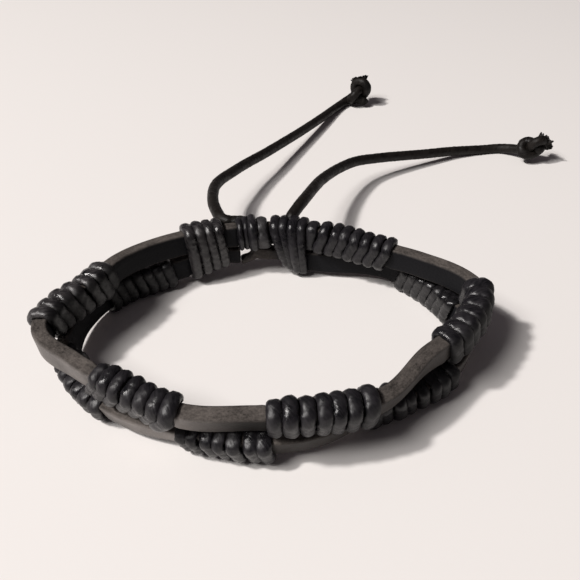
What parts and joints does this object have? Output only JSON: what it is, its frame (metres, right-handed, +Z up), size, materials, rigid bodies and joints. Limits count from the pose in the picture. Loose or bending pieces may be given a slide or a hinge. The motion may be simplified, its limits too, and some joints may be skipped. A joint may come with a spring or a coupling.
{
  "type": "layered leather bracelet",
  "caption": "Two leather straps one above the other, bound at intervals by waxed cord, closed by sliding knots with two tie cords that end in knots; lies on its side.",
  "frame": {"origin": "the middle of the bracelet's footprint, on the surface it lies on, measured without the tie cords", "axes": "+X along the loop's long way, +Y towards the closure and its tie cords, +Z up from the surface"},
  "size_m": [0.1026, 0.1437, 0.0123],
  "materials": {
    "leather": "matt, with rough cut edges",
    "waxed_cord": "waxed, with a low sheen"
  },
  "bodies": {
    "root": {"upper_strap": "leather", "lower_strap": "leather", "left_binding": "waxed_cord", "upper_winding_1": "waxed_cord", "upper_winding_2": "waxed_cord", "upper_winding_3": "waxed_cord", "upper_winding_4": "waxed_cord", "upper_winding_5": "waxed_cord", "lower_winding_1": "waxed_cord", "lower_winding_2": "waxed_cord", "lower_winding_3": "waxed_cord", "lower_winding_4": "waxed_cord", "lower_winding_5": "waxed_cord", "left_slide_knot": "waxed_cord", "keeper_turn": "waxed_cord", "right_slide_knot": "waxed_cord", "left_tie_cord": "waxed_cord", "right_tie_cord": "waxed_cord", "left_end_knot": "waxed_cord", "right_end_knot": "waxed_cord"}
  },
  "joints": []
}
